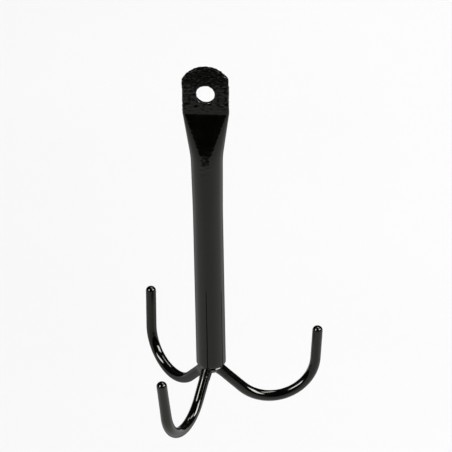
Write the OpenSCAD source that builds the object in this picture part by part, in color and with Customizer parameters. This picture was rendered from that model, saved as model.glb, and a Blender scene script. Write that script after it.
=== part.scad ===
// Hanging tack hook: a steel tube pressed flat at the top and three bent bars welded into its mouth,
// all under one glossy black plastic coating. Millimetres.
// The origin is the centre of the hanging hole, +Z is up and the flat tab lies in the XZ plane.

/* [Shaft tube] */
// Outside diameter of the steel tube
tube_od = 19.05; // [17:0.05:25]
// Wall of the steel tube
tube_wall = 1.2; // [0.8:0.1:1.6]
// Height of the hanging hole's centre above the tube's lower rim
rim_to_hole = 201.7; // [150:0.1:300]
// Rounding of the rim's outer edge
rim_round = 0.8; // [0.3:0.1:1]

/* [Pressed tab] */
// Width of the flat tab, bare steel
tab_w = 29.8; // [27:0.1:34]
// Diameter of the punched hole in bare steel
hole_d = 13.4; // [8:0.1:16]
// Hole centre to the top of the sheared end
hole_to_top = 18.7; // [14:0.1:24]
// Radius of the arc that the end is sheared to
top_arc_r = 17.1; // [15.5:0.1:24]
// Hole centre down to the crease where the flat tab ends
hole_to_crease = 13.9; // [10:0.1:24]
// Length of the V-shaped flats below the crease
facet_l = 31.4; // [20:0.1:50]
// Length of the slightly oval run below the V flats
runout_l = 40; // [20:1:80]
// Flatness of the tube at the foot of the V flats, from 0 for round to 1 for flat
knee_flat_share = 0.12; // [0.05:0.01:0.4]
// Gap left between the two walls where they close at the crease
seam_gap = 0.1; // [0.05:0.01:0.3]

/* [Hook bars] */
// Diameter of the round bar
bar_d = 6; // [5:0.1:7]
// Length of each bar held inside the tube
shank_l = 30; // [15:1:60]
// Gap between a bar and the inside of the tube, and the least gap between two bars in it
seat_gap = 0.2; // [0.1:0.05:0.5]
// Straight length of bar below the rim before its bend
mouth_drop = 1.8; // [0.5:0.1:4]
// Centreline radius of the bend at the mouth
mouth_bend_r = 7; // [6:0.1:12]
// Swell of the bar where a bend meets a straight
bend_swell = 0.03; // [0.01:0.01:0.1]
// Rounding of the bar's tip
tip_round = 2.4; // [1:0.1:2.4]

/* [Left hook] */
// Direction of the left hook round the tube, from +X
left_azimuth = 133; // [123:0.1:143]
// Angle round the bore from the left hook's direction to its bar's seat
left_seat_a = 14.3; // [-18:0.1:18]
// Angle that the left bar bends outwards at the mouth, from straight down
left_bend_a = 47.5; // [35:0.1:55]
// Straight length between the left bar's mouth bend and its bowl
left_arm_l = 20.9; // [12:0.1:40]
// Centreline radius of the left bowl
left_bowl_r = 26.7; // [22:0.1:36]
// Outward lean of the left tip from upright
left_lean = -1.3; // [-10:0.1:15]
// Straight length of the left tip above its bowl
left_tip_l = 28; // [10:0.1:45]

/* [Right hook] */
// Direction of the right hook round the tube, from +X
right_azimuth = 12.1; // [2:0.1:22]
// Angle round the bore from the right hook's direction to its bar's seat
right_seat_a = -8.4; // [-18:0.1:18]
// Angle that the right bar bends outwards at the mouth, from straight down
right_bend_a = 44.1; // [35:0.1:55]
// Straight length between the right bar's mouth bend and its bowl
right_arm_l = 19.6; // [12:0.1:40]
// Centreline radius of the right bowl
right_bowl_r = 29.7; // [22:0.1:36]
// Outward lean of the right tip from upright
right_lean = 4; // [-10:0.1:15]
// Straight length of the right tip above its bowl
right_tip_l = 21.5; // [10:0.1:45]

/* [Front hook] */
// Direction of the front hook round the tube, from +X
front_azimuth = 251.4; // [241:0.1:261]
// Angle round the bore from the front hook's direction to its bar's seat
front_seat_a = -11.7; // [-18:0.1:18]
// Angle that the front bar bends outwards at the mouth, from straight down
front_bend_a = 42.2; // [35:0.1:55]
// Straight length between the front bar's mouth bend and its bowl
front_arm_l = 18.4; // [12:0.1:40]
// Centreline radius of the front bowl
front_bowl_r = 29.4; // [22:0.1:36]
// Outward lean of the front tip from upright
front_lean = 11.3; // [-10:0.1:15]
// Straight length of the front tip above its bowl
front_tip_l = 27.5; // [10:0.1:45]

/* [Welds] */
// Depth of the weld inside the tube's mouth
plug_depth = 4; // [2:0.1:10]
// How far the rounded weld drops below the coated rim
weld_drop = 7.3; // [6:0.1:8]
// How far the rounded weld laps under the tube's wall
weld_lap = 0.3; // [0.1:0.05:0.4]
// Length of each weld bead along the straight of its hook
bead_reach = 4; // [2:0.1:8]
// Length of each weld bead back from the straight into the rounded weld
bead_root = 4; // [3:0.1:4.5]
// How much thicker than the coated bar a bead is at its root
bead_swell = 0.6; // [0.4:0.1:1.8]

/* [Coating] */
// Thickness of the plastic coating
coat = 0.5; // [0.2:0.05:0.7]

/* [Hidden] */
$fn = 64;

// Sides of the round shapes that the pressed stretches are stretched between
press_fn = 96;
// How far a cut runs past the face that it opens
overrun = 1;
// Thickness of the end slices that a pressed stretch is stretched between
slice = 0.01;

steel_colour = [0.56, 0.57, 0.58];
weld_colour = [0.20, 0.20, 0.21];
coat_colour = [0.06, 0.06, 0.065];

// Heights of the tube's stations
rim_z = -rim_to_hole;
crease_z = -hole_to_crease;
knee_z = crease_z - facet_l;
round_z = knee_z - runout_l;

tab_t = 2 * tube_wall;
bore_r = tube_od / 2 - tube_wall;
bar_r = bar_d / 2;
shank_r = bore_r - seat_gap - bar_r;

// The weld's underside is a spherical cap that laps under the tube's wall
weld_base_z = rim_z - coat;
weld_base_r = bore_r + weld_lap;
weld_dome_r = (weld_base_r * weld_base_r + weld_drop * weld_drop) / (2 * weld_drop);

// Direction, seat, mouth bend, arm length, bowl radius, lean and tip length of each hook
LEFT = [left_azimuth, left_seat_a, left_bend_a, left_arm_l, left_bowl_r, left_lean, left_tip_l];
RIGHT = [right_azimuth, right_seat_a, right_bend_a, right_arm_l, right_bowl_r, right_lean, right_tip_l];
FRONT = [front_azimuth, front_seat_a, front_bend_a, front_arm_l, front_bowl_r, front_lean, front_tip_l];
HOOKS = [LEFT, RIGHT, FRONT];

// Angle round the bore that one bar and its gap take up, and the room that leaves on either side of a bar
bar_span_a = 2 * asin((bar_r + seat_gap / 2) / shank_r);
seat_room_a = (360 / len(HOOKS) - bar_span_a) / 2;

// What each place in a hook's list holds
function direction(hook) = hook[0];
function seat_a(hook) = max(-seat_room_a, min(seat_room_a, hook[1]));
function bend_a(hook) = hook[2];
function arm_l(hook) = hook[3];
function bowl_r(hook) = hook[4];
function lean(hook) = hook[5];
function tip_l(hook) = hook[6];

// Width and thickness of the tube, round at flatness 0 and pressed flat at 1, less an inset all round
function pressed_w(flatness, inset) = tube_od + flatness * (tab_w - tube_od) - 2 * inset;
function pressed_t(flatness, inset) = tube_od + flatness * (tab_t - tube_od) - 2 * inset;

// Angle that a hook's bowl turns through, from the slope of its arm to its leaning tip
function bowl_turn(hook) = 180 - bend_a(hook) - lean(hook);

// One thin slice of the pressed tube, with round edges
module pressed_slice(z, flatness, inset) {
    t = max(pressed_t(flatness, inset), seam_gap);
    edge_x = (pressed_w(flatness, inset) - t) / 2;
    for (side = [-1, 1])
        translate([side * edge_x, 0, z])
            cylinder(d = t, h = slice, $fn = press_fn);
}

// A stretch of tube that goes evenly from one flatness to another
module pressed_stretch(low_z, low_flatness, high_z, high_flatness, inset) {
    hull() {
        pressed_slice(low_z, low_flatness, inset);
        pressed_slice(high_z - slice, high_flatness, inset);
    }
}

// The two stretches between the round tube and the flat tab
module pressed_transition(inset) {
    pressed_stretch(round_z, 0, knee_z, knee_flat_share, inset);
    pressed_stretch(knee_z, knee_flat_share, crease_z, 1, inset);
}

// The round stretch, solid, with its lower edge rounded
module round_stretch(skin) {
    r = tube_od / 2 + skin;
    edge_r = rim_round + skin;
    low_z = rim_z - skin;
    rotate_extrude() {
        translate([0, low_z])
            square([r - edge_r, edge_r]);
        translate([0, low_z + edge_r])
            square([r, round_z - low_z - edge_r]);
        translate([r - edge_r, low_z + edge_r])
            intersection() {
                circle(edge_r);
                translate([0, -edge_r])
                    square(edge_r);
            }
    }
}

// The flat tab, with round edges and its top sheared to an arc
module flat_tab(skin) {
    w = tab_w + 2 * skin;
    t = tab_t + 2 * skin;
    arc_r = top_arc_r + skin;
    arc_z = hole_to_top - top_arc_r;
    intersection() {
        translate([0, 0, crease_z])
            linear_extrude(hole_to_top + skin - crease_z) {
                square([w - t, t], center = true);
                for (side = [-1, 1])
                    translate([side * (w - t) / 2, 0])
                        circle(d = t);
            }
        rotate([90, 0, 0])
            linear_extrude(t + 2 * overrun, center = true) {
                translate([0, arc_z])
                    circle(arc_r);
                translate([-arc_r, crease_z - overrun])
                    square([2 * arc_r, arc_z - crease_z + overrun]);
            }
    }
}

// The outside of the whole shaft as a solid, with a skin of the given thickness on the steel
module shaft_form(skin) {
    round_stretch(skin);
    pressed_transition(-skin);
    flat_tab(skin);
}

// A round hole through the tab
module tab_hole(d) {
    rotate([90, 0, 0])
        cylinder(d = d, h = tab_t + 2 * coat + 2 * overrun, center = true);
}

// A straight of bar along +Z
module straight_run(l, r) {
    cylinder(r = r, h = l);
}

// A bend towards +X of a bar that runs along +Z
module bent_run(bend_r, angle, r) {
    translate([bend_r, 0, 0])
        rotate([90, 0, 180])
            rotate_extrude(angle = angle)
                translate([bend_r, 0])
                    circle(r);
}

// The slight swell where a bend and a straight run into each other
module swelled_meeting(r) {
    sphere(r + bend_swell);
}

// Carries what follows to the end of a straight
module after_run(l) {
    translate([0, 0, l])
        children();
}

// Carries what follows to the end of a bend
module after_bend(bend_r, angle) {
    translate([bend_r, 0, 0])
        rotate([0, angle, 0])
            translate([-bend_r, 0, 0])
                children();
}

// Half the outline of a rounded tip, flat in the middle
module tip_outline(r, edge_r) {
    square([r - edge_r, edge_r]);
    intersection() {
        translate([r - edge_r, 0])
            circle(edge_r);
        square([r, edge_r]);
    }
}

// A tip that closes the end of a bar, with a skin of the given thickness on the steel
module rounded_tip(skin) {
    rotate_extrude()
        tip_outline(bar_r + skin, tip_round + skin);
}

// Stands at the rim inside the tube, over one hook's bar, looking down along it with +X outwards
module at_mouth(hook) {
    rotate([0, 0, direction(hook)])
        translate([shank_r * cos(seat_a(hook)), shank_r * sin(seat_a(hook)), rim_z])
            rotate([180, 0, 0])
                children();
}

// Stands at the end of the mouth bend, looking along the straight arm
module at_arm(hook) {
    at_mouth(hook)
        after_run(mouth_drop)
            after_bend(mouth_bend_r, bend_a(hook))
                children();
}

// The arm from a given distance along it, the bowl and the tip, with a skin on the steel
module hook_reach(hook, start, skin) {
    r = bar_r + skin;
    after_run(start)
        straight_run(arm_l(hook) - start, r);
    after_run(arm_l(hook)) {
        swelled_meeting(r);
        bent_run(bowl_r(hook), bowl_turn(hook), r);
        after_bend(bowl_r(hook), bowl_turn(hook)) {
            swelled_meeting(r);
            straight_run(tip_l(hook), r);
            after_run(tip_l(hook))
                rounded_tip(skin);
        }
    }
}

// The bar from a given height above the rim to the end of its mouth bend
module bar_root(hook, height) {
    at_mouth(hook) {
        after_run(-height)
            straight_run(height + mouth_drop, bar_r);
        after_run(mouth_drop)
            bent_run(mouth_bend_r, bend_a(hook), bar_r);
    }
    at_arm(hook)
        swelled_meeting(bar_r);
}

// The stretch of one bar that passes through the welds
module bar_at_welds(hook) {
    bar_root(hook, plug_depth + overrun);
    at_arm(hook)
        straight_run(bead_reach + overrun, bar_r);
}

// The outside of the mouth's weld, before the bars are taken out of it
module weld_plug() {
    rotate_extrude() {
        translate([0, weld_base_z])
            square([bore_r, rim_z + plug_depth - weld_base_z]);
        translate([0, weld_base_z])
            intersection() {
                translate([0, weld_dome_r - weld_drop])
                    circle(weld_dome_r);
                translate([0, -weld_drop - overrun])
                    square([weld_dome_r + overrun, weld_drop + overrun]);
            }
    }
}

// The steel tube, open at its lower end, with its upper end pressed flat and punched
module shaft_tube() {
    color(steel_colour)
        difference() {
            shaft_form(0);
            translate([0, 0, rim_z - overrun])
                cylinder(r = bore_r, h = round_z - rim_z + overrun);
            pressed_transition(tube_wall);
            tab_hole(hole_d);
        }
}

// The plastic on the tube, through its hole and under its rim
module shaft_coating() {
    color(coat_colour)
        difference() {
            shaft_form(coat);
            difference() {
                shaft_form(0);
                tab_hole(hole_d);
            }
            translate([0, 0, rim_z - coat - overrun])
                cylinder(r = bore_r, h = coat + 2 * overrun);
            tab_hole(hole_d - 2 * coat);
        }
}

// One bar from its end inside the tube to its tip
module hook_bar(hook) {
    color(steel_colour) {
        bar_root(hook, shank_l);
        at_arm(hook)
            hook_reach(hook, 0, 0);
    }
}

// The weld that fills the mouth round the three bars
module mouth_weld() {
    color(weld_colour)
        difference() {
            weld_plug();
            for (hook = HOOKS)
                bar_at_welds(hook);
        }
}

// The run of weld round one bar, from the rounded weld to the start of the bar's coating
module weld_bead(hook) {
    color(weld_colour)
        difference() {
            at_arm(hook)
                after_run(-bead_root)
                    cylinder(r1 = bar_r + coat + bead_swell, r2 = bar_r + coat, h = bead_root + bead_reach);
            bar_at_welds(hook);
            weld_plug();
        }
}

// The plastic on one bar, from its weld bead to its closed tip
module hook_coating(hook) {
    color(coat_colour)
        at_arm(hook)
            difference() {
                hook_reach(hook, bead_reach, coat);
                hook_reach(hook, 0, 0);
            }
}

shaft_tube();
hook_bar(LEFT);  // left_hook_bar
hook_bar(RIGHT);  // right_hook_bar
hook_bar(FRONT);  // front_hook_bar
mouth_weld();
weld_bead(LEFT);  // left_weld_bead
weld_bead(RIGHT);  // right_weld_bead
weld_bead(FRONT);  // front_weld_bead
shaft_coating();
hook_coating(LEFT);  // left_hook_coating
hook_coating(RIGHT);  // right_hook_coating
hook_coating(FRONT);  // front_hook_coating
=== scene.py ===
# %% [markdown]
# # A hanging tack hook in gloss black
#
# The object is a hook that hangs in a tack room and holds bridles by their crowns. It is one round steel
# tube with its top end pressed flat and punched, and three bent bars welded into its open lower end. The
# finished hook was dipped in black plastic, so almost everything that the eye meets is that skin.
#
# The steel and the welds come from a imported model, which gives every piece its size and place. This lesson
# dresses it: it builds the skin and the lumpy welds as fine meshes, gives each a finish, and then sets a
# camera and three soft lamps so that the gloss has something to mirror.

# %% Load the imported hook
import math

import bpy
import numpy as np
from mathutils import Matrix, Vector, noise


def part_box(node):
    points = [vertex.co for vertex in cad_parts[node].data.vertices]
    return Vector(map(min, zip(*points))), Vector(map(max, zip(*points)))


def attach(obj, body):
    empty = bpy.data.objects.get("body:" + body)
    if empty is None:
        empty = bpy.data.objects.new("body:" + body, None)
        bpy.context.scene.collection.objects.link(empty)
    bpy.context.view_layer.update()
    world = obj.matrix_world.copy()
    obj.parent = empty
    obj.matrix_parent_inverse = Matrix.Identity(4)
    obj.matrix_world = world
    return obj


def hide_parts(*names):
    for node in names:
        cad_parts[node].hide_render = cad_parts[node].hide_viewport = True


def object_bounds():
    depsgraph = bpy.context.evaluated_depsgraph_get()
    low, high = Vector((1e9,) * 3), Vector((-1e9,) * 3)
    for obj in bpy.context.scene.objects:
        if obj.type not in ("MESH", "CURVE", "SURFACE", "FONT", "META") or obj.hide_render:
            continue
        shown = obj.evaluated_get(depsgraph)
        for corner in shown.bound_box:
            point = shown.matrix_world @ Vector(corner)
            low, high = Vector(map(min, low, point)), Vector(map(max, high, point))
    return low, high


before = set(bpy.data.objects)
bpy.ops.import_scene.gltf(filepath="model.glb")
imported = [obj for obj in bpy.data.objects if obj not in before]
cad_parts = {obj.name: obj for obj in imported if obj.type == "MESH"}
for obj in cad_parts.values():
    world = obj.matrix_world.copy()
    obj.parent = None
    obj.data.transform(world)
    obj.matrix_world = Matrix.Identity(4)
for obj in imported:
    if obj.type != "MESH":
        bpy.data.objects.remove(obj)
cad_low, cad_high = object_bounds()
print("steel, welds and skins:", ", ".join(sorted(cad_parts)))
print("packed size in mm:", [round(side * 1000, 1) for side in cad_high - cad_low])

# %% [markdown]
# ## Sizes
#
# Blender works in metres here, and a maker thinks of a hook in millimetres, so each length is written in
# millimetres times `MM`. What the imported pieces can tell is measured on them: the tube's radius, the tab's
# width, the heights of the rim and of the top, and the thickness of the skin. The rest are the bends and
# rounds that a box can't tell, and they repeat the sizes that the steel was made to. The bars were bent by
# hand, so each hook has its own bends and straights, and its own place where the wet plastic gathered.

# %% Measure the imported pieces
MM = 0.001
tube_low, tube_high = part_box("shaft_tube")
skin_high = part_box("shaft_coating")[1]
COAT = skin_high.z - tube_high.z
TUBE_R = (tube_high.y - tube_low.y) / 2
TAB_W = tube_high.x - tube_low.x
TOP_Z = tube_high.z
RIM_Z = tube_low.z
print("tube radius %.3f, tab %.2f wide, skin %.2f thick, in mm" % (TUBE_R / MM, TAB_W / MM, COAT / MM))

# %% Sizes of the pressed shaft
TUBE_WALL = 1.2 * MM
TAB_T = 2 * TUBE_WALL
BORE_R = TUBE_R - TUBE_WALL
RIM_ROUND = 0.8 * MM
HOLE_R = 6.7 * MM
TOP_ARC_R = 17.1 * MM
CREASE_Z = -13.9 * MM
KNEE_Z = CREASE_Z - 31.4 * MM
ROUND_Z = KNEE_Z - 40 * MM
KNEE_FLAT_SHARE = 0.12
print("tube is round below %.1f mm and flat above %.1f mm" % (ROUND_Z / MM, CREASE_Z / MM))

# %% Sizes of the bent bars
BAR_R = 3 * MM
SEAT_GAP = 0.2 * MM
SHANK_R = BORE_R - SEAT_GAP - BAR_R
MOUTH_DROP = 1.8 * MM
MOUTH_BEND_R = 7 * MM
TIP_ROUND = 2.4 * MM
BEAD_ROOT = 4 * MM
BEAD_REACH = 4 * MM


def hook_sizes(azimuth, seat, bend, arm_l, bowl_r, lean, tip_l, gathers):
    """One hook's direction, its bar's seat in the bore, its bends and straights, and its thickest skin"""
    angles = dict(azimuth=azimuth, seat=azimuth + seat, bend=bend, lean=lean)
    sizes = {name: math.radians(angle) for name, angle in angles.items()}
    sizes.update(arm_l=arm_l * MM, bowl_r=bowl_r * MM, tip_l=tip_l * MM)
    sizes.update(gathers=[length * MM for length in gathers])
    return sizes


HOOKS = {
    "left": hook_sizes(azimuth=133, seat=14.3, bend=47.5, arm_l=20.9, bowl_r=26.7, lean=-1.3, tip_l=28,
                       gathers=(38, 13)),
    "right": hook_sizes(azimuth=12.1, seat=-8.4, bend=44.1, arm_l=19.6, bowl_r=29.7, lean=4, tip_l=21.5,
                        gathers=(16, 34)),
    "front": hook_sizes(azimuth=251.4, seat=-11.7, bend=42.2, arm_l=18.4, bowl_r=29.4, lean=11.3, tip_l=27.5,
                        gathers=(69, 18)),
}
print("hooks:", ", ".join(HOOKS))

# %% [markdown]
# ## Camera
#
# The photograph looks down on the hook from a little to its right, through a long lens that keeps the tube's
# sides almost parallel. The view is given as a photographer would say it: how far round, how high, how much
# the picture is tilted, how far away, and which point the lens is aimed at. Three axes follow from the
# angles, and they are the camera's own right, up and back. No lens shift is needed, because the aim does the
# framing.

# %% Camera
VIEW_ROUND = math.radians(6.305)
VIEW_HEIGHT = math.radians(27.637)
VIEW_TILT = math.radians(-1.072)
VIEW_DISTANCE = 2200 * MM
AIM_RIGHT = 13.472 * MM
AIM_UP = -86.344 * MM
FOCAL_PIXELS = 3364.54
PICTURE_PIXELS = 452
SENSOR_MM = 36
FARTHEST = 100

level_right = Vector((math.cos(VIEW_ROUND), math.sin(VIEW_ROUND), 0))
towards_camera = Vector((math.sin(VIEW_ROUND), -math.cos(VIEW_ROUND), 0))
camera_back = towards_camera * math.cos(VIEW_HEIGHT) + Vector((0, 0, math.sin(VIEW_HEIGHT)))
level_up = camera_back.cross(level_right)
camera_right = level_right * math.cos(VIEW_TILT) + level_up * math.sin(VIEW_TILT)
camera_up = level_up * math.cos(VIEW_TILT) - level_right * math.sin(VIEW_TILT)
camera_place = camera_right * AIM_RIGHT + camera_up * AIM_UP + camera_back * VIEW_DISTANCE

camera = bpy.data.objects.new("portrait_camera", bpy.data.cameras.new("portrait_camera"))
bpy.context.scene.collection.objects.link(camera)
camera.data.sensor_width = SENSOR_MM
camera.data.lens = FOCAL_PIXELS * SENSOR_MM / PICTURE_PIXELS
camera.data.clip_end = FARTHEST
axes = Matrix((camera_right, camera_up, camera_back)).transposed()
camera.matrix_world = Matrix.Translation(camera_place) @ axes.to_4x4()
bpy.context.scene.camera = camera
print("lens %.0f mm, %.2f m away" % (camera.data.lens, VIEW_DISTANCE))

# %% [markdown]
# ## A small kit for node materials
#
# Every finish below is a tree of nodes on one Principled shader. The helper makes a node, sets its sockets
# and links whatever is passed as another node's output, so that a material reads from top to bottom.
# Patterns follow the object's own coordinates, which are metres here, so a pattern that repeats every
# millimetre has a scale of about a thousand, and `per` turns a size into that scale.

# %% Node helpers
def per(length):
    """Scale of a noise whose blotches are about this long"""
    return 1 / length


def node(tree, kind, settings=None, **sockets):
    """One node with its settings, and with each named socket set or linked"""
    made = tree.nodes.new(kind)
    for key, value in (settings or {}).items():
        setattr(made, key, value)
    for key, value in sockets.items():
        socket = made.inputs[key.replace("_", " ")]
        if isinstance(value, bpy.types.NodeSocket):
            tree.links.new(value, socket)
        else:
            socket.default_value = value
    return made


def new_finish(name):
    """An empty material with its node tree, output and object coordinates"""
    finish = bpy.data.materials.new(name)
    finish.use_nodes = True
    tree = finish.node_tree
    tree.nodes.clear()
    place = node(tree, "ShaderNodeTexCoord").outputs["Object"]
    return finish, tree, place


def blotches(tree, place, length, detail=2.0, roughness=0.5):
    """A soft noise, from 0 to 1, with blotches of about the given length"""
    made = node(tree, "ShaderNodeTexNoise", Vector=place, Scale=per(length), Detail=detail)
    made.inputs["Roughness"].default_value = roughness
    return made.outputs["Fac"]


def spread(tree, value, low, high, start=0.3, end=0.7, kind="LINEAR"):
    """Stretches a value from start..end to low..high"""
    made = node(tree, "ShaderNodeMapRange", {"interpolation_type": kind}, Value=value)
    for key, number in {"From Min": start, "From Max": end, "To Min": low, "To Max": high}.items():
        made.inputs[key].default_value = number
    return made.outputs["Result"]


def joined(tree, sign, *values):
    """Adds or multiplies values, one after the other"""
    total = values[0]
    for value in values[1:]:
        made = node(tree, "ShaderNodeMath", {"operation": sign})
        tree.links.new(total, made.inputs[0])
        tree.links.new(value, made.inputs[1])
        total = made.outputs["Value"]
    return total


def bumped(tree, height, depth, strength, under=None):
    """A bump of the given depth, on top of another bump if there is one"""
    made = node(tree, "ShaderNodeBump", Height=height, Distance=depth, Strength=strength)
    if under:
        tree.links.new(under, made.inputs["Normal"])
    return made.outputs["Normal"]


def finish_with(finish, tree, shader):
    """Links the shader to the material's output"""
    out = node(tree, "ShaderNodeOutputMaterial")
    tree.links.new(shader.outputs["BSDF"], out.inputs["Surface"])
    print("finish:", finish.name, "with", len(tree.nodes), "nodes")
    return finish


print("blotches of 1 mm are a noise of scale %.0f" % per(1 * MM))

# %% [markdown]
# ## The black skin
#
# Dipped plastic is black all the way through, so its own colour is close to nothing and the eye sees only
# what its gloss mirrors. A low index of refraction keeps those mirrored shapes dark, as in the photograph.
# What makes it plastic and not glass is the surface: a faint orange peel, a finer ripple from the bath,
# and cloudy patches where handling has dulled the gloss a little. The orange peel is a bump, because it is
# thinner than a hair. The larger lumps, which change the outline of a highlight, are modelled further on.
#
# The gloss differs from place to place, and the shader's specular level takes that up as a product of
# factors. Skin mirrors more on its flanks than where it faces the eye. Where the skin faces upwards its
# specular level is raised further, a painted highlight that makes the lamps' lines on the tops brighter. The
# tab and the foot of the V carry matt specks, where the plastic set over rough steel. Any factor can be left
# out to see what it does.

# %% Gloss of the skin
TOP_HIGHLIGHT_START = 0.26
TOP_HIGHLIGHT_END = 0.40
FLANK_START = 0.26
FLANK_LEVEL = 0.5
EDGE_LEVEL = 0.004
EDGE_END = 0.78


def gloss_by_slope(tree, head_on, edge):
    """Specular level: weaker where the skin faces the eye, full on its flanks, and gone at its very edge"""
    facing = node(tree, "ShaderNodeLayerWeight", Blend=0.5).outputs["Facing"]
    rise = spread(tree, facing, head_on, 1, 0, FLANK_START, "SMOOTHSTEP")
    fall = spread(tree, facing, FLANK_LEVEL, EDGE_LEVEL, edge, EDGE_END, "SMOOTHSTEP")
    return joined(tree, "MULTIPLY", rise, fall)


def painted_top_highlight(tree, top_highlight_gain):
    """1 on the sides and undersides, and more on tops: a painted highlight that raises the specular level of
    upward faces
    """
    normal = node(tree, "ShaderNodeNewGeometry").outputs["Normal"]
    z = node(tree, "ShaderNodeSeparateXYZ", Vector=normal).outputs["Z"]
    # Painted highlight: the specular level grows on faces that point up, towards the lamps.
    return spread(tree, z, 1, top_highlight_gain, TOP_HIGHLIGHT_START, TOP_HIGHLIGHT_END)


# The painted top highlight starts where the skin faces up this steeply.
print("skin is a polished top where it faces up by %.0f degrees or more" % math.degrees(math.asin(TOP_HIGHLIGHT_END)))

# %% Matt patches of the skin
SPECK = 1.8 * MM
SPECK_SQUEEZE = (0.75, 1, 1)
TAB_MATT = 0.45
TOP_MATT = 0.12
KNEE_MATT = 0.56
MATT_START = 0.04
MATT_END = -0.03
MATT_LEVEL = 0.22
TAB_LEVEL = 0.66


def matt_patches(tree, place):
    """1 on glossy skin and less on matt patches: most at the tab's top, some below the V flats"""
    wide = node(tree, "ShaderNodeMapping", Vector=place, Scale=SPECK_SQUEEZE).outputs["Vector"]
    speckle = blotches(tree, wide, SPECK, detail=3, roughness=0.55)
    parts = node(tree, "ShaderNodeSeparateXYZ", Vector=place)
    z = parts.outputs["Z"]
    across = node(tree, "ShaderNodeMath", {"operation": "ABSOLUTE"})
    tree.links.new(parts.outputs["X"], across.inputs[0])
    on_tab = spread(tree, z, 0, -TAB_MATT, CREASE_Z + 1 * MM, CREASE_Z + 6 * MM, "SMOOTHSTEP")
    at_top = spread(tree, z, 0, -TOP_MATT, 4 * MM, 9 * MM, "SMOOTHSTEP")
    nearing = spread(tree, z, 0, -KNEE_MATT, KNEE_Z - 14 * MM, KNEE_Z - 1 * MM)
    above = spread(tree, z, 1, 0, KNEE_Z + 2 * MM, KNEE_Z + 6 * MM)
    middle = spread(tree, across.outputs["Value"], 1, 0, 2 * MM, 5 * MM)
    at_knee = joined(tree, "MULTIPLY", nearing, above, middle)
    left_over = joined(tree, "ADD", speckle, on_tab, at_top, at_knee)
    dimmed = spread(tree, z, 1, TAB_LEVEL, CREASE_Z - 1 * MM, CREASE_Z + 1 * MM)
    glossy = spread(tree, left_over, MATT_LEVEL, 1, MATT_END, MATT_START)
    return joined(tree, "MULTIPLY", glossy, dimmed)


print("a matt speck is about %.1f mm long and keeps %.0f%% of the gloss" % (SPECK / MM, 100 * MATT_LEVEL))

# %% [markdown]
# One recipe makes all the black finishes, and each hook gets its own reading of it: how strongly it mirrors,
# how soon the gloss fades on its flank and how much the painted top highlight raises it. The left hook, at
# the back, mirrors least and its gloss fades soonest: that is painted shade. The weld's plug and collars are
# rougher, because ripples of the metal work through the plastic.

# %% Finish of the skin
DEEP_BLACK = (0.0005, 0.0005, 0.0004, 1)
SOFT_BLACK = (0.0014, 0.0014, 0.0011, 1)
GLOSS_TINT = (0.95, 1.0, 0.90, 1)


def black_skin(name, bend, head_on, peel_depth, dull, gloss, edge=0.50, top_highlight_gain=1, patchy=False):
    """Gloss black plastic with orange peel of the given depth, and roughness from gloss to dull"""
    finish, tree, place = new_finish(name)
    cloud = blotches(tree, place, 9 * MM, detail=3)
    tint = node(tree, "ShaderNodeMix", {"data_type": "RGBA"})
    tree.links.new(spread(tree, cloud, 0, 1), tint.inputs["Factor"])
    tint.inputs["A"].default_value = DEEP_BLACK
    tint.inputs["B"].default_value = SOFT_BLACK
    scuff = blotches(tree, place, 1.3 * MM, detail=5, roughness=0.7)
    scuffed = spread(tree, scuff, 0, 0.05, 0.56, 0.75)
    roughness = joined(tree, "ADD", spread(tree, cloud, gloss, dull), scuffed)
    peel = bumped(tree, blotches(tree, place, 1.1 * MM), peel_depth, 0.6)
    ripple = bumped(tree, blotches(tree, place, 0.35 * MM), peel_depth / 8, 0.5, peel)
    level = joined(tree, "MULTIPLY", gloss_by_slope(tree, head_on, edge), painted_top_highlight(tree, top_highlight_gain))
    if patchy:
        level = joined(tree, "MULTIPLY", level, matt_patches(tree, place))
    shader = node(tree, "ShaderNodeBsdfPrincipled", Normal=ripple, IOR=bend)
    shader.inputs["Specular Tint"].default_value = GLOSS_TINT
    tree.links.new(level, shader.inputs["Specular IOR Level"])
    tree.links.new(tint.outputs["Result"], shader.inputs["Base Color"])
    tree.links.new(roughness, shader.inputs["Roughness"])
    return finish_with(finish, tree, shader)


# The number for tops is a painted highlight: it raises the gloss of each skin's upward faces.
shaft_finish = black_skin("dipped_shaft_skin", bend=1.42, head_on=0.70, peel_depth=0.010 * MM, dull=0.11,
                          gloss=0.06, top_highlight_gain=2.5, patchy=True)
hook_skin = dict(head_on=0.66, peel_depth=0.006 * MM, dull=0.09, gloss=0.05)
hook_finishes = {
    # The left hook's low index and early fade are painted shade, so it mirrors less than the others.
    "left": black_skin("dipped_left_hook_skin_painted_shade", bend=1.38, edge=0.22, top_highlight_gain=2.7, **hook_skin),
    "right": black_skin("dipped_right_hook_skin", bend=1.44, edge=0.58, top_highlight_gain=2.3, **hook_skin),
    "front": black_skin("dipped_front_hook_skin", bend=1.45, edge=0.56, top_highlight_gain=2.2, **hook_skin),
}
plug_finish = black_skin("skinned_plug", bend=1.45, head_on=0.80, peel_depth=0.010 * MM, dull=0.16,
                         gloss=0.08, top_highlight_gain=2.4)
collar_skin = dict(bend=1.42, head_on=0.60, peel_depth=0.020 * MM, dull=0.26, gloss=0.16)
# How much the painted top highlight raises each collar's gloss; on the right collar it lowers it.
COLLAR_TOP_HIGHLIGHT = {"left": 1, "right": 0.3, "front": 1.3}
collar_finishes = {side: black_skin("skinned_%s_collar" % side, top_highlight_gain=top_highlight_gain, **collar_skin)
                   for side, top_highlight_gain in COLLAR_TOP_HIGHLIGHT.items()}

# %% [markdown]
# ## The steel underneath
#
# The tube and the bars are mild steel as it leaves the drawing bench: grey, with fine lines along its length
# and a bluish bloom of mill scale. The skin hides them, but they are still pieces of the hook, and they show
# when someone takes the skin off in a cutaway. The drawn lines are a noise that is stretched along the piece:
# squeezing the coordinates across it and leaving them long along it does that.

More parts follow.
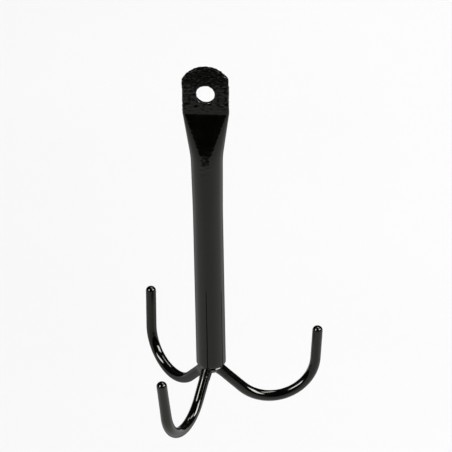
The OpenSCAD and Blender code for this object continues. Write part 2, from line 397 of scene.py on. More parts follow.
# %% Finish of the steel
def drawn_steel(name, paper_in_painted_shade, deep):
    """Drawn mild steel with lines along Z, between two greys"""
    finish, tree, place = new_finish(name)
    squeeze = node(tree, "ShaderNodeMapping", Vector=place, Scale=(1, 1, 0.04))
    lines = blotches(tree, squeeze.outputs["Vector"], 0.4 * MM, detail=4, roughness=0.6)
    bloom = blotches(tree, place, 14 * MM, detail=3)
    grey = node(tree, "ShaderNodeMix", {"data_type": "RGBA"})
    tree.links.new(spread(tree, bloom, 0, 1), grey.inputs["Factor"])
    grey.inputs["A"].default_value = paper_in_painted_shade
    grey.inputs["B"].default_value = deep
    drawn = bumped(tree, lines, 0.006 * MM, 0.5)
    shader = node(tree, "ShaderNodeBsdfPrincipled", Normal=drawn, Metallic=1.0)
    tree.links.new(grey.outputs["Result"], shader.inputs["Base Color"])
    tree.links.new(spread(tree, lines, 0.28, 0.48), shader.inputs["Roughness"])
    return finish_with(finish, tree, shader)


tube_steel = drawn_steel("drawn_tube_steel", paper_in_painted_shade=(0.50, 0.51, 0.52, 1), deep=(0.34, 0.36, 0.40, 1))
bar_steel = drawn_steel("drawn_bar_steel", paper_in_painted_shade=(0.46, 0.47, 0.48, 1), deep=(0.30, 0.31, 0.34, 1))
steel_of = {"shaft_tube": tube_steel}
steel_of.update({side + "_hook_bar": bar_steel for side in HOOKS})
for name, steel in steel_of.items():
    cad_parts[name].material_slots[0].material = steel
print("steel on:", ", ".join(steel_of))

# %% [markdown]
# ## Turning points into pieces
#
# Each new piece is a set of points and of faces between them, worked out with numpy. A piece rides on the
# hook's one body, hides the imported piece that it stands for, and wears the finish that it is given.
# Lumps are added after the mesh is made: every point moves along its normal by a noise, by an amount that
# may differ from place to place. That makes them real relief, which shows on the outline too.

# %% Piece helpers
def piece(name, points, faces, finish, stands_for):
    """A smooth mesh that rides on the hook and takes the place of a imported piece"""
    mesh = bpy.data.meshes.new(name)
    mesh.from_pydata([tuple(point) for point in points], [], faces)
    mesh.validate()
    mesh.materials.append(finish)
    mesh.shade_smooth()
    made = bpy.data.objects.new(name, mesh)
    bpy.context.scene.collection.objects.link(made)
    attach(made, "root")
    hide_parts(stands_for)
    print("%s: %d points, %d faces" % (name, len(mesh.vertices), len(mesh.polygons)))
    return made


def soft_noise(place, length, octaves):
    """Noise from about -1 to 1 at a place, with lumps of about the given length"""
    total = 0.0
    for octave in range(octaves):
        total += noise.noise(place * (per(length) * 2 ** octave)) / 2 ** octave
    return total


def raise_lumps(made, count, height):
    """Moves the first count points of a piece along their normals by the height that each place gets"""
    normals = [vertex.normal.copy() for vertex in made.data.vertices]
    for vertex, normal in zip(made.data.vertices[:count], normals):
        vertex.co += normal * height(vertex.co)
    made.data.update()


def strip(lower, upper, closed=True):
    """Quads between two rows of point numbers that run the same way"""
    count = len(lower)
    last = count if closed else count - 1
    return [(lower[k], lower[(k + 1) % count], upper[(k + 1) % count], upper[k]) for k in range(last)]


print("two closed rows of 4 points take", len(strip(range(4), range(4, 8))), "faces")

# %% [markdown]
# ## The shaft's skin
#
# The shaft starts as a round tube, and its upper end was pressed between two flat jaws. A tube keeps its
# girth when it is pressed, so each cross-section is a straight with a half circle at either end, and the
# girth is almost the same from rim to top. Spacing the points evenly round that girth gives rows that join
# up without pinching, from the round tube to the flat tab.
#
# Between the crease and the knee the section changes evenly with height. That leaves a flat triangle on the
# front and on the back, the two V shapes under the tab, with no need to model them apart.

# %% Section of the pressed tube
GIRTH_POINTS = 240
PRESS_ROUND = 0.6 * MM
KNEE_ROUND = 4 * MM
ROUNDING_PLACES = 9


def flatness(z):
    """Share of full flatness at a height, sharp at the crease and soft at the knee"""
    stations = [ROUND_Z, KNEE_Z, CREASE_Z]
    shares = [0, KNEE_FLAT_SHARE, 1]
    rounding = PRESS_ROUND if z > (KNEE_Z + CREASE_Z) / 2 else KNEE_ROUND
    around = rounding * np.linspace(-1, 1, ROUNDING_PLACES)
    return float(np.mean(np.interp(z + around, stations, shares)))


def section(flat, skin):
    """Half the straight and the radius of the half circles, for a flatness and a skin"""
    width = 2 * TUBE_R + flat * (TAB_W - 2 * TUBE_R)
    thick = 2 * TUBE_R + flat * (TAB_T - 2 * TUBE_R)
    return (width - thick) / 2, thick / 2 + skin


def ring(straight, radius):
    """Points evenly round a section, from the middle of its front, as x and y"""
    bend = math.pi * radius
    s = np.arange(GIRTH_POINTS) * (4 * straight + 2 * bend) / GIRTH_POINTS
    right = (s - straight) / radius - math.pi / 2
    left = (s - 3 * straight - bend) / radius + math.pi / 2
    bounds = [s <= straight, s <= straight + bend, s <= 3 * straight + bend, s <= 3 * straight + 2 * bend]
    x = np.select(bounds, [s, straight + radius * np.cos(right), 2 * straight + bend - s,
                           -straight + radius * np.cos(left)], s - 4 * straight - 2 * bend)
    y = np.select(bounds, [-radius + 0 * s, radius * np.sin(right), radius + 0 * s,
                           radius * np.sin(left)], -radius)
    return x, y


print("girth of the tube %.1f mm, of the tab %.1f mm" % tuple(
    (4 * straight + 2 * math.pi * radius) / MM for straight, radius in (section(0, COAT), section(1, COAT))))

# %% [markdown]
# The rows start at the bore's edge, pass under the rim, round its corner and climb the tube. In the tab the
# rows bend: each column of points is stretched so that it ends on the sheared arc, so the top edge is a clean
# curve and not a flight of steps. The rows lie closer together where the skin is lumpy, and further apart
# on the side that lies on the steel, which nobody sees.

# %% Rows of the shaft's skin
TUBE_STEP = 3 * MM
PRESS_STEP = 0.3 * MM
UNSEEN_SPREAD = 5
FINE_Z = KNEE_Z - 18 * MM
TOP_EDGE_ROUND = 0.6 * MM
RIM_ROWS = 6


def top_height(x, y, skin):
    """Height of the sheared end over a point of the section, with its edge rounded"""
    arc_r = TOP_ARC_R + skin
    arc = TOP_Z - TOP_ARC_R + np.sqrt(arc_r ** 2 - x ** 2)
    past = np.maximum(np.abs(y) - (TAB_T / 2 + skin - TOP_EDGE_ROUND), 0)
    return arc - TOP_EDGE_ROUND + np.sqrt(np.maximum(TOP_EDGE_ROUND ** 2 - past ** 2, 0))


def shaft_rows(skin):
    """Rows of points from the bore's edge to the sheared end, and the number of the first tab row"""
    apart = 1 if skin else UNSEEN_SPREAD
    low_z = RIM_Z - skin
    edge = RIM_ROUND + skin
    outer = TUBE_R + skin
    rows = [(r, low_z) for r in np.linspace(BORE_R, outer - edge, 3)]
    turns = np.linspace(0, math.pi / 2, RIM_ROWS)[1:]
    rows += [(outer - edge + edge * math.sin(a), low_z + edge - edge * math.cos(a)) for a in turns]
    points = [np.column_stack((*ring(0, r), np.full(GIRTH_POINTS, z))) for r, z in rows]
    heights = list(np.arange(low_z + edge + TUBE_STEP, FINE_Z, TUBE_STEP * apart))
    heights += list(np.arange(FINE_Z, CREASE_Z, PRESS_STEP * apart))
    for z in heights:
        x, y = ring(*section(flatness(z), skin))
        points.append(np.column_stack((x, y, np.full(GIRTH_POINTS, z))))
    first_tab_row = len(points)
    x, y = ring(*section(1, skin))
    top = top_height(x, y, skin)
    steps = int((TOP_Z - CREASE_Z) / (PRESS_STEP * apart))
    for share in np.linspace(0, 1, steps):
        points.append(np.column_stack((x, y, CREASE_Z + share * (top - CREASE_Z))))
    return points, first_tab_row


rows_of_skin, first_tab_row = shaft_rows(COAT)
print("%d rows of %d points" % (len(rows_of_skin), GIRTH_POINTS))

# %% [markdown]
# The hole was punched before the dip, so the plastic runs through it and rounds its lip, which catches a few
# specks of light. A grid of quads has no place for a circle, so a square of it is left out on each face. Its
# border is joined to the circle by rings of points that go from square to round, over the lip, and through to
# the middle of the tab, where the front and the back meet.

# %% Hole through the tab
HOLE_SPAN = 9 * MM
FACE_RINGS = 7
LIP_RINGS = 6
LIP = 0.8 * MM


def hole_border(points, first_tab_row):
    """The square that is left out: its first and last row, and its columns to each side of the middle"""
    middle = np.array([row[0][2] for row in points[first_tab_row:]])
    first = first_tab_row + int(np.searchsorted(middle, -HOLE_SPAN))
    last = first_tab_row + int(np.searchsorted(middle, HOLE_SPAN))
    side = int(np.searchsorted(points[-1][:GIRTH_POINTS // 4, 0], HOLE_SPAN))
    return first, last, side


def border_places(first, last, side):
    """Row and column of each point round the border, counted from the middle of the front"""
    columns = list(range(-side, side + 1))
    rows = list(range(first, last + 1))
    loop = [(first, c) for c in columns] + [(r, side) for r in rows[1:]]
    return loop + [(last, c) for c in columns[-2::-1]] + [(r, -side) for r in rows[-2:0:-1]]


def hole_rings(border, skin):
    """Rings from the border on the front to the middle of the tab, each as points"""
    face_y = -(TAB_T / 2 + skin)
    radius = HOLE_R - skin
    turn = np.arctan2(border[:, 2], border[:, 0])
    circle = np.column_stack((np.cos(turn), np.sin(turn)))
    rings = []
    for share in np.linspace(0, 1, FACE_RINGS + 1)[1:]:
        flat = border[:, [0, 2]] * (1 - share) + circle * (radius + LIP) * share
        rings.append((flat, face_y))
    for a in np.linspace(0, math.pi / 2, LIP_RINGS + 1)[1:]:
        rings.append((circle * (radius + LIP * (1 - math.sin(a))), face_y + LIP * (1 - math.cos(a))))
    rings.append((circle * radius, 0))
    return [np.column_stack((flat[:, 0], np.full(len(flat), y), flat[:, 1])) for flat, y in rings]


first, last, side = hole_border(rows_of_skin, first_tab_row)
print("square of %d rows by %d columns is left out on each face" % (last - first, 2 * side))

# %% [markdown]
# The faces of the shaft come in three lots: the walls between the rows, the wall of the hole, and the sheared
# end, where a strip runs from each front column to its twin on the back. The hole and the end add points of
# their own to the list of points that they are given.

# %% Faces of the shaft's skin
HALF_GIRTH = GIRTH_POINTS // 2
END_ROWS = 7


def shaft_walls(number, hole):
    """Faces between the rows, apart from the two squares that the hole leaves out"""
    first, last, side = hole
    open_columns = {(c + face) % GIRTH_POINTS for c in range(-side, side) for face in (0, HALF_GIRTH)}
    faces = []
    for r in range(len(number) - 1):
        quads = strip(list(number[r]), list(number[r + 1]))
        in_hole = first <= r < last
        faces += [quad for c, quad in enumerate(quads) if not (in_hole and c in open_columns)]
    return faces


def hole_wall(points, number, hole, skin):
    """Faces from the border on the front, through the tab, to the border on the back"""
    places = border_places(*hole)
    front = [number[r, c % GIRTH_POINTS] for r, c in places]
    back = [number[r, (HALF_GIRTH - c) % GIRTH_POINTS] for r, c in places]
    rings = hole_rings(np.array([points[k] for k in front]), skin)
    mirror = np.array((1, -1, 1))
    faces = []
    middle = None
    for border, flip in ((front, False), (back, True)):
        before = border
        for made in rings:
            if flip and made is rings[-1]:
                row = middle
            else:
                row = list(range(len(points), len(points) + len(made)))
                points += list(made * mirror if flip else made)
            faces += [quad[::-1] if flip else quad for quad in strip(before, row)]
            before = row
        middle = before
    return faces


def sheared_end(points, end, skin):
    """Faces over the sheared end, from each point on its front edge to the one behind it"""
    quarter = GIRTH_POINTS // 4
    shares = (1 - np.cos(np.linspace(0, math.pi, END_ROWS))) / 2
    across = []
    for c in range(-quarter, quarter + 1):
        near, far = int(end[c % GIRTH_POINTS]), int(end[(HALF_GIRTH - c) % GIRTH_POINTS])
        between = []
        if near != far:
            x, depth = points[near][0], points[near][1]
            for share in shares[1:-1]:
                y = depth * (1 - 2 * share)
                between.append(len(points))
                points.append(np.array((x, y, float(top_height(x, y, skin)))))
        across.append([near] + between + [far])
    faces = []
    for low, high in zip(across, across[1:]):
        low = low if len(low) > 2 else [low[0]] * END_ROWS
        high = high if len(high) > 2 else [high[0]] * END_ROWS
        for k in range(END_ROWS - 1):
            corners = [low[k], high[k], high[k + 1], low[k + 1]]
            faces.append(tuple(dict.fromkeys(corners)))
    return faces


print("the sheared end is %d faces deep" % (END_ROWS - 1))

# %% [markdown]
# The skin is a shell: the same surface is made twice, once on the outside of the plastic and once on the
# steel. The inner one is turned inside out, and the two meet at the bore's edge, so the piece is closed.

# %% Shell of the shaft's skin
def shaft_surface(skin):
    """Points and outward faces of the shaft at one skin thickness, with the first row at the bore's edge"""
    rows, tab_row = shaft_rows(skin)
    points = [point for row in rows for point in row]
    number = np.arange(len(points)).reshape(len(rows), GIRTH_POINTS)
    hole = hole_border(rows, tab_row)
    faces = shaft_walls(number, hole)
    faces += hole_wall(points, number, hole, skin)
    faces += sheared_end(points, number[-1], skin)
    return points, faces, list(number[0])


def shell(outer, inner):
    """One closed shell from an outer and an inner surface that share their first row's count"""
    points, faces, edge = outer
    inner_points, inner_faces, inner_edge = inner
    shift = len(points)
    inside_out = [tuple(k + shift for k in reversed(face)) for face in inner_faces]
    joint = strip([k + shift for k in inner_edge], edge)
    return list(points) + list(inner_points), list(faces) + inside_out + joint


outer_shaft = shaft_surface(COAT)
points, faces = shell(outer_shaft, shaft_surface(0))
shaft_skin = piece("shaft_skin", points, faces, shaft_finish, "shaft_coating")

# %% [markdown]
# Close up, the skin on the tab is mottled: the pressed steel is rough there, and the plastic follows it in
# small lumps. Towards the top it also ran down in sags before it set, and each sag ends in a short step.
# The lumps fade out on the V flats, leave the sides of the V a little ragged, come back where its foot runs
# out into the tube, and all but vanish on the tube, which was smooth to begin with. Each kind of relief has
# its own height, and they are mixed by where a point lies. All of them are thinner than the skin.

# %% Lumps of the shaft's skin
TAB_LUMP = 0.30 * MM
SAG = 0.20 * MM
SAG_STEP = 1.9 * MM
KNEE_LUMP = 0.22 * MM
VEE_LUMP = 0.025 * MM
TUBE_LUMP = 0.006 * MM


def ramp(value, start, end):
    """0 before start, 1 after end, and a smooth rise between them"""
    share = min(max((value - start) / (end - start), 0), 1)
    return share * share * (3 - 2 * share)


def sagged(place):
    """Height of the sags at a place: each thickens slowly downwards and ends in a short step"""
    wander = noise.noise(place * per(6 * MM)) + 0.6 * noise.noise(place * per(2.4 * MM))
    share = (place.z / SAG_STEP + 0.8 * wander) % 1
    return ramp(share, 0, 0.25) * (1 - share)


def shaft_lump(place):
    """Height of the relief at a place on the shaft"""
    on_tab = ramp(place.z, CREASE_Z - 0.6 * MM, CREASE_Z + 3 * MM)
    near_top = ramp(place.z, -2 * MM, 7 * MM)
    above_knee = ramp(place.z, KNEE_Z - 1 * MM, KNEE_Z + 3 * MM)
    below_knee = ramp(place.z, KNEE_Z - 15 * MM, KNEE_Z - 4 * MM) * (1 - above_knee)
    near_knee = below_knee * (1 - ramp(abs(place.x), 2.5 * MM, 5.5 * MM))
    vee = section(flatness(place.z), COAT)[0]
    past_vee = abs(place.x) - vee
    vee_side = ramp(past_vee, -4 * MM, -1 * MM) * (1 - ramp(past_vee, 1.5 * MM, 4 * MM))
    on_vee_side = vee_side * above_knee * (1 - on_tab)
    stretched = Vector((place.x / 1.6, place.y, place.z))
    fine = soft_noise(stretched, 1.7 * MM, 2)
    slow = soft_noise(place, 7 * MM, 1)
    lump = (TAB_LUMP * on_tab + KNEE_LUMP * near_knee + VEE_LUMP * on_vee_side) * fine
    return lump + SAG * near_top * sagged(stretched) + TUBE_LUMP * slow


raise_lumps(shaft_skin, len(outer_shaft[0]), shaft_lump)
print("lumps up to %.3f mm on the tab" % (TAB_LUMP / MM))

# %% [markdown]
# ## The hooks' skins
#
# Each bar is bent cold from one length: a straight, a short bend at the mouth, an arm, a wide bowl and a tip.
# The centreline is walked the same way, keeping a heading that starts straight down and turns outwards, so
# the whole hook lies in one upright plane. Rings of points round that line make the skin. Because every bend
# turns in the same plane, the rings never twist. Wet plastic runs together on a bar before it sets, so one
# stretch of each hook has a skin that is up to 0.3 mm thicker, and it thins out towards both sides. Where a
# skin stops at its collar the corner stays sharp, because shaded smooth it would gleam like a rounded one.

# %% Walk along a bar
BAR_STEP = 0.8 * MM


def walk(leg, heading, length):
    """Goes straight: points along a leg from its last place"""
    ahead = np.array((math.sin(heading), -math.cos(heading)))
    count = max(2, round(length / BAR_STEP))
    return [(leg[-1][0] + ahead * length * k / count, heading) for k in range(1, count + 1)]


def turn(leg, heading, radius, angle):
    """Goes round a bend towards the outside: points along it from the leg's last place"""
    middle = leg[-1][0] + radius * np.array((math.cos(heading), math.sin(heading)))
    count = max(4, round(radius * angle / BAR_STEP))
    headings = [heading + angle * k / count for k in range(1, count + 1)]
    return [(middle - radius * np.array((math.cos(h), math.sin(h))), h) for h in headings]


def arm_start(hook):
    """Where the straight arm begins, as distance outwards from the bar's seat and height"""
    mouth = [(np.array((0, RIM_Z - MOUTH_DROP)), 0.0)]
    return turn(mouth, 0.0, MOUTH_BEND_R, hook["bend"])[-1][0]


def hook_line(hook):
    """Centreline of a hook from its weld bead to its tip, as places and headings"""
    ahead = np.array((math.sin(hook["bend"]), -math.cos(hook["bend"])))
    line = [(arm_start(hook) + ahead * BEAD_REACH, hook["bend"])]
    line += walk(line, hook["bend"], hook["arm_l"] - BEAD_REACH)
    line += turn(line, hook["bend"], hook["bowl_r"], math.pi - hook["bend"] - hook["lean"])
    line += walk(line, line[-1][1], hook["tip_l"])
    return line


for side, hook in HOOKS.items():
    lowest = min(place[1] for place, heading in hook_line(hook))
    print("%s hook: lowest point of its centreline %.1f mm" % (side, lowest / MM))

# %% Shell of a hook's skin
BAR_POINTS = 56
TIP_ROWS = 8


def hook_axes(hook):
    """The seat of a bar in the bore, and the hook's directions outwards, aside and up"""
    seat = SHANK_R * np.array((math.cos(hook["seat"]), math.sin(hook["seat"]), 0))
    out = np.array((math.cos(hook["azimuth"]), math.sin(hook["azimuth"]), 0))
    aside = np.array((math.sin(hook["azimuth"]), -math.cos(hook["azimuth"]), 0))
    return seat, out, aside, np.array((0, 0, 1))


def round_bar(hook, place, heading, radius):
    """A ring of points round the bar at one place on its centreline"""
    seat, out, aside, up = hook_axes(hook)
    inward = math.cos(heading) * out + math.sin(heading) * up
    a = np.linspace(0, 2 * math.pi, BAR_POINTS, endpoint=False)[:, None]
    return seat + place[0] * out + place[1] * up + radius * (np.cos(a) * inward + np.sin(a) * aside)


def hook_surface(hook, skin, gather):
    """Points and outward faces of a hook from its weld bead to its closed tip"""
    radius = BAR_R + skin
    edge = TIP_ROUND + skin
    line = hook_line(hook)
    middle, reach = hook["gathers"]
    rows = []
    along = 0
    before = line[0][0]
    for place, heading in line:
        along += np.linalg.norm(place - before)
        before = place
        thicker = gather * math.exp(-((along - middle) / reach) ** 2)
        rows.append(round_bar(hook, place, heading, radius + thicker))
    end, heading = line[-1]
    ahead = np.array((math.sin(heading), -math.cos(heading)))
    for a in np.linspace(0, math.pi / 2, TIP_ROWS + 1)[1:]:
        tip = end + ahead * edge * math.sin(a)
        rows.append(round_bar(hook, tip, heading, radius - edge + edge * math.cos(a)))
    points = [point for row in rows for point in row]
    number = np.arange(len(points)).reshape(len(rows), BAR_POINTS)
    faces = [quad for low, high in zip(number, number[1:]) for quad in strip(list(low), list(high))]
    last_ring = [int(k) for k in number[-1]]
    faces += [(a, b, len(points)) for a, b in zip(last_ring, last_ring[1:] + last_ring[:1])]
    points.append(rows[-1].mean(axis=0))
    return points, faces, list(number[0])


GATHER = 0.3 * MM
BAR_LUMP = 0.012 * MM
RIM_ANGLE = math.radians(60)


def bar_lump(place):
    """Slow unevenness of the plastic on a bar"""
    return BAR_LUMP * soft_noise(place, 5 * MM, 2)


for side, hook in HOOKS.items():
    outer_hook = hook_surface(hook, COAT, GATHER)
    points, faces = shell(outer_hook, hook_surface(hook, 0, 0))
    name, stands_for = side + "_hook_skin", side + "_hook_coating"
    made = piece(name, points, faces, hook_finishes[side], stands_for)
    raise_lumps(made, len(outer_hook[0]), bar_lump)
    made.data.set_sharp_from_angle(angle=RIM_ANGLE)

# %% [markdown]
# ## The welds
#
# Three bars in one round mouth leave odd gaps, which the welder filled until the metal stood out as a rounded
# plug with a collar round each bar. The plastic softens the ripples of the weld and does not hide them.
# The plug is a profile turned about the tube's axis and a collar is one turned about its arm. Both then get
# lumps that are larger and rougher than those of the skin. Between the bars the weld also stands out in a
# narrow ledge just under the rim, and the light lies on it as a short bright line.

# %% Lathe for the welds
WELD_POINTS = 72


def turned(profile, base, out, aside, along):
    """Points and faces of a closed solid: a profile of radii and heights, turned about an axis"""
    a = np.linspace(0, 2 * math.pi, WELD_POINTS, endpoint=False)[:, None]
    rows = [base + along * h + r * (np.cos(a) * out + np.sin(a) * aside) for r, h in profile]
    points = [point for row in rows for point in row]
    number = np.arange(len(points)).reshape(len(rows), WELD_POINTS)
    faces = [quad for low, high in zip(number, number[1:]) for quad in strip(list(low), list(high))]
    return points, faces, number


print("%d points round each row of a weld" % WELD_POINTS)

# %% Plug in the tube's mouth
PLUG_DEPTH = 4 * MM
WELD_DROP = 7.3 * MM
WELD_LAP = 0.3 * MM
PLUG_LUMP = 0.20 * MM
LEDGE = 1.0 * MM
LEDGE_Z = 1.3 * MM
LEDGE_HALF = 1.0 * MM
GAP_START = math.radians(22)
GAP_END = math.radians(40)
DOME_START = 0.02
DOME_ROWS = 52
PLUG_EYE = 0.1 * MM
weld_top = RIM_Z - COAT


def plug_profile():
    """Radii and heights of the plug, from the middle of its underside to the middle of its top"""
    base_r = BORE_R + WELD_LAP
    dome_r = (base_r ** 2 + WELD_DROP ** 2) / (2 * WELD_DROP)
    reach = math.asin(base_r / dome_r)
    turns = np.linspace(DOME_START, reach, DOME_ROWS)
    dome = [(dome_r * math.sin(a), dome_r - WELD_DROP - dome_r * math.cos(a)) for a in turns]
    top = PLUG_DEPTH + COAT
    inside = [(BORE_R, 0), (BORE_R, top), (BORE_R / 2, top), (PLUG_EYE, top)]
    return dome + inside


def plug_lump(place):
    """Lumps of the weld's underside, which fade out at the rim, and the ledge in the gaps between bars"""
    drop = weld_top - place.z
    below = ramp(drop, 0.2 * MM, 2.5 * MM)
    turn = math.atan2(place.y, place.x)
    off_bars = min(abs(math.remainder(turn - hook["seat"], 2 * math.pi)) for hook in HOOKS.values())
    in_gap = ramp(off_bars, GAP_START, GAP_END)
    ledge = 1 - ramp(abs(drop - LEDGE_Z), 0, LEDGE_HALF)
    return PLUG_LUMP * below * soft_noise(place, 2.6 * MM, 2) + LEDGE * ledge * in_gap


profile = plug_profile()
points, faces, number = turned(profile, np.array((0, 0, weld_top)), np.array((1, 0, 0)), np.array((0, 1, 0)),
                               np.array((0, 0, 1)))
faces += [tuple(int(k) for k in number[0][::-1]), tuple(int(k) for k in number[-1])]
plug = piece("mouth_weld_plug", points, faces, plug_finish, "mouth_weld")
raise_lumps(plug, len(points), plug_lump)

# %% Collars round the bars
COLLAR_SWELL = 0.6 * MM
COLLAR_LIP = 0.18 * MM
COLLAR_LUMP = 0.08 * MM
COLLAR_STEP = 0.35 * MM
COLLAR_HOLLOW = 1.5
COLLAR_LIP_ROWS = 6
COLLAR_L = BEAD_ROOT + BEAD_REACH


def collar_profile():
    """Radii and heights of a collar along its arm, from its root to its lip and back along the bar"""
    skinned = BAR_R + COAT
    heights = np.arange(0, COLLAR_L - COLLAR_LIP, COLLAR_STEP)
    swell = COLLAR_SWELL - COLLAR_LIP
    cone = [(skinned + COLLAR_LIP + swell * (1 - h / COLLAR_L) ** COLLAR_HOLLOW, h) for h in heights]
    lip = [(skinned + COLLAR_LIP * math.cos(a), COLLAR_L - COLLAR_LIP + COLLAR_LIP * math.sin(a))
           for a in np.linspace(0, math.pi / 2, COLLAR_LIP_ROWS)]
    return [(BAR_R, 0)] + cone + lip + [(BAR_R, COLLAR_L)]


def lumps_of_collar(root, along):
    """The relief of the collar that runs from its root along its arm"""
    root, along = Vector(root), Vector(along)

    def collar_lump(place):
        """Lumps that fade out towards the collar's lip and on the bar"""
        reach = (place - root).dot(along)
        off_bar = (place - root - along * reach).length - BAR_R
        fade = 1 - 0.6 * ramp(reach, COLLAR_L - 2 * MM, COLLAR_L)
        return COLLAR_LUMP * fade * ramp(off_bar, 0.1 * MM, 0.4 * MM) * soft_noise(place, 1.9 * MM, 2)

    return collar_lump


for side, hook in HOOKS.items():
    seat, out, aside, up = hook_axes(hook)
    along = math.sin(hook["bend"]) * out - math.cos(hook["bend"]) * up
    across = math.cos(hook["bend"]) * out + math.sin(hook["bend"]) * up
    start = arm_start(hook)
    root = seat + start[0] * out + start[1] * up - along * BEAD_ROOT
    points, faces, number = turned(collar_profile(), root, across, aside, along)
    faces += strip(list(number[-1]), list(number[0]))
    name, stands_for = side + "_weld_collar", side + "_weld_bead"
    collar = piece(name, points, faces, collar_finishes[side], stands_for)
    raise_lumps(collar, len(points), lumps_of_collar(root, along))

# %% [markdown]
# ## Floor and light
#
# A black mirror shows its surroundings, so they are set up as in the photograph: a wide pale floor, a dark
# room, and three soft lamps, one high on either side and one overhead and behind. The floor makes the tube
# and the tab grey, a little more so on the right, because the paper carries a painted shade that darkens it
# towards the left. Far off the paper is painted dark, a painted shade in place of unlit floor. The dark room
# makes the V flats and the tops of the bars black, and the lamps draw the white lines on the bowls. The lamps
# are drawn into the light of the room by direction alone, so none of them can stand in the picture. The hook
# hangs clear of the floor, as it does in use, so its shadow falls softly below it.

# %% Floor
FLOOR_DROP = 300 * MM
FLOOR_R = 12000 * MM
PAPER_R = 5000 * MM
FLOOR_RINGS = 12
FLOOR_POINTS = 96
# The paper on the left is darker: a painted shade that fades out towards the right.
LEFT_PAPER_PAINTED_SHADE = (0.73, 0.73, 0.73, 1)
RIGHT_PAPER = (0.815, 0.815, 0.815, 1)
# Painted shade: the colour the floor turns to far from the hook, where it stands in for unlit floor.
FAR_FLOOR_PAINTED_SHADE = (0.03, 0.03, 0.03, 1)
SHADE_DARKEST_AT = -1000 * MM
SHADE_ENDS_AT = 210 * MM


def paper_finish():
    """Matt white paper with the faintest mottle, a painted shade that darkens it to the left, and painted
    dark far away
    """
    finish, tree, place = new_finish("white_paper")
    mottle = spread(tree, blotches(tree, place, 300 * MM, detail=3), -0.06, 0.06)
    rightwards = node(tree, "ShaderNodeVectorMath", {"operation": "DOT_PRODUCT"})
    tree.links.new(place, rightwards.inputs[0])
    rightwards.inputs[1].default_value = level_right
    # Painted shade: the paper darkens towards the left.
    painted_shade_fade = spread(tree, rightwards.outputs["Value"], 0, 1, SHADE_DARKEST_AT, SHADE_ENDS_AT)
    paper_in_painted_shade = node(tree, "ShaderNodeMix", {"data_type": "RGBA"})
    tree.links.new(joined(tree, "ADD", painted_shade_fade, mottle), paper_in_painted_shade.inputs["Factor"])
    paper_in_painted_shade.inputs["A"].default_value = LEFT_PAPER_PAINTED_SHADE
    paper_in_painted_shade.inputs["B"].default_value = RIGHT_PAPER
    # Painted shade: the paper darkens with distance from the hook.
    away = node(tree, "ShaderNodeVectorMath", {"operation": "LENGTH"})
    tree.links.new(place, away.inputs[0])
    tint = node(tree, "ShaderNodeMix", {"data_type": "RGBA"})
    tree.links.new(spread(tree, away.outputs["Value"], 0, 1, PAPER_R, FLOOR_R), tint.inputs["Factor"])
    tree.links.new(paper_in_painted_shade.outputs["Result"], tint.inputs["A"])
    tint.inputs["B"].default_value = FAR_FLOOR_PAINTED_SHADE
    grain = bumped(tree, blotches(tree, place, 0.8 * MM), 0.02 * MM, 0.3)
    shader = node(tree, "ShaderNodeBsdfPrincipled", Normal=grain, Roughness=0.95)
    shader.inputs["Specular IOR Level"].default_value = 0
    tree.links.new(tint.outputs["Result"], shader.inputs["Base Color"])
    return finish_with(finish, tree, shader)


def round_floor(z):
    """A disc of rings, closer together in the middle"""
    a = np.linspace(0, 2 * math.pi, FLOOR_POINTS, endpoint=False)
    rings = [FLOOR_R * (k / FLOOR_RINGS) ** 2 for k in range(1, FLOOR_RINGS + 1)]
    points = [(0, 0, z)] + [(r * math.cos(t), r * math.sin(t), z) for r in rings for t in a]
    number = np.arange(1, len(points)).reshape(FLOOR_RINGS, FLOOR_POINTS)
    faces = [(0, int(number[0][k]), int(number[0][(k + 1) % FLOOR_POINTS])) for k in range(FLOOR_POINTS)]
    faces += [quad[::-1] for low, high in zip(number, number[1:]) for quad in strip(list(low), list(high))]
    mesh = bpy.data.meshes.new("studio_floor")
    mesh.from_pydata(points, [], faces)
    mesh.validate()
    mesh.materials.append(paper_finish())
    return mesh


floor = bpy.data.objects.new("studio_floor", round_floor(cad_low.z - FLOOR_DROP))
bpy.context.scene.collection.objects.link(floor)
print("floor %.0f mm below the hook" % (FLOOR_DROP / MM))

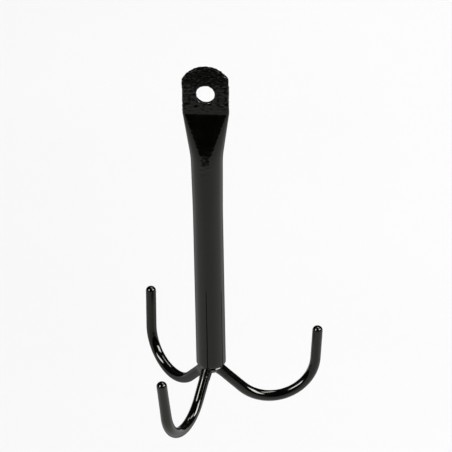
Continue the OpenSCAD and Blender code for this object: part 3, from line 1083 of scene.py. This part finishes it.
# %% Lamps and room
LAMPS = {
    "right": dict(start=(90, 32), end=(42, 38), height=20, light=11.7),
    "left": dict(start=(-54, 54), end=(-50, 19), height=16, light=13),
    "ceiling": dict(start=(90, 60), end=(178, 54), height=12, light=5),
}
ROOM = 0.01
SOFT_EDGE = math.radians(2)


def room_direction(round_deg, height_deg):
    """Direction of a point in the room, as degrees round from the camera and degrees up"""
    turned_by, raised = math.radians(round_deg), math.radians(height_deg)
    level = towards_camera * math.cos(turned_by) + level_right * math.sin(turned_by)
    return level * math.cos(raised) + Vector((0, 0, math.sin(raised)))


def strip_lamp(tree, look, lamp):
    """Brightness of one long lamp, seen in the direction of look"""
    start, end = room_direction(*lamp["start"]), room_direction(*lamp["end"])
    middle = (start + end).normalized()
    reach = start.angle(middle)
    half = math.radians(lamp["height"]) / 2
    dots = []
    for axis in (start.cross(end).normalized(), middle):
        dot = node(tree, "ShaderNodeVectorMath", {"operation": "DOT_PRODUCT"})
        tree.links.new(look, dot.inputs[0])
        dot.inputs[1].default_value = axis
        dots.append(dot.outputs["Value"])
    off = node(tree, "ShaderNodeMath", {"operation": "ABSOLUTE"})
    tree.links.new(dots[0], off.inputs[0])
    inner, outer = math.sin(half - SOFT_EDGE / 2), math.sin(half + SOFT_EDGE / 2)
    thin = spread(tree, off.outputs["Value"], lamp["light"], 0, inner, outer)
    long = spread(tree, dots[1], 0, 1, math.cos(reach + SOFT_EDGE), math.cos(reach))
    return joined(tree, "MULTIPLY", thin, long)


world = bpy.data.worlds.new("dark_room")
world.use_nodes = True
tree = world.node_tree
look = node(tree, "ShaderNodeTexCoord").outputs["Generated"]
dim_room = node(tree, "ShaderNodeValue").outputs["Value"]
dim_room.default_value = ROOM
light = joined(tree, "ADD", dim_room, *[strip_lamp(tree, look, lamp) for lamp in LAMPS.values()])
tree.nodes["Background"].inputs["Color"].default_value = (1, 1, 1, 1)
tree.links.new(light, tree.nodes["Background"].inputs["Strength"])
bpy.context.scene.world = world
bpy.context.scene.view_settings.view_transform = "Standard"
print("lamps:", ", ".join(LAMPS))
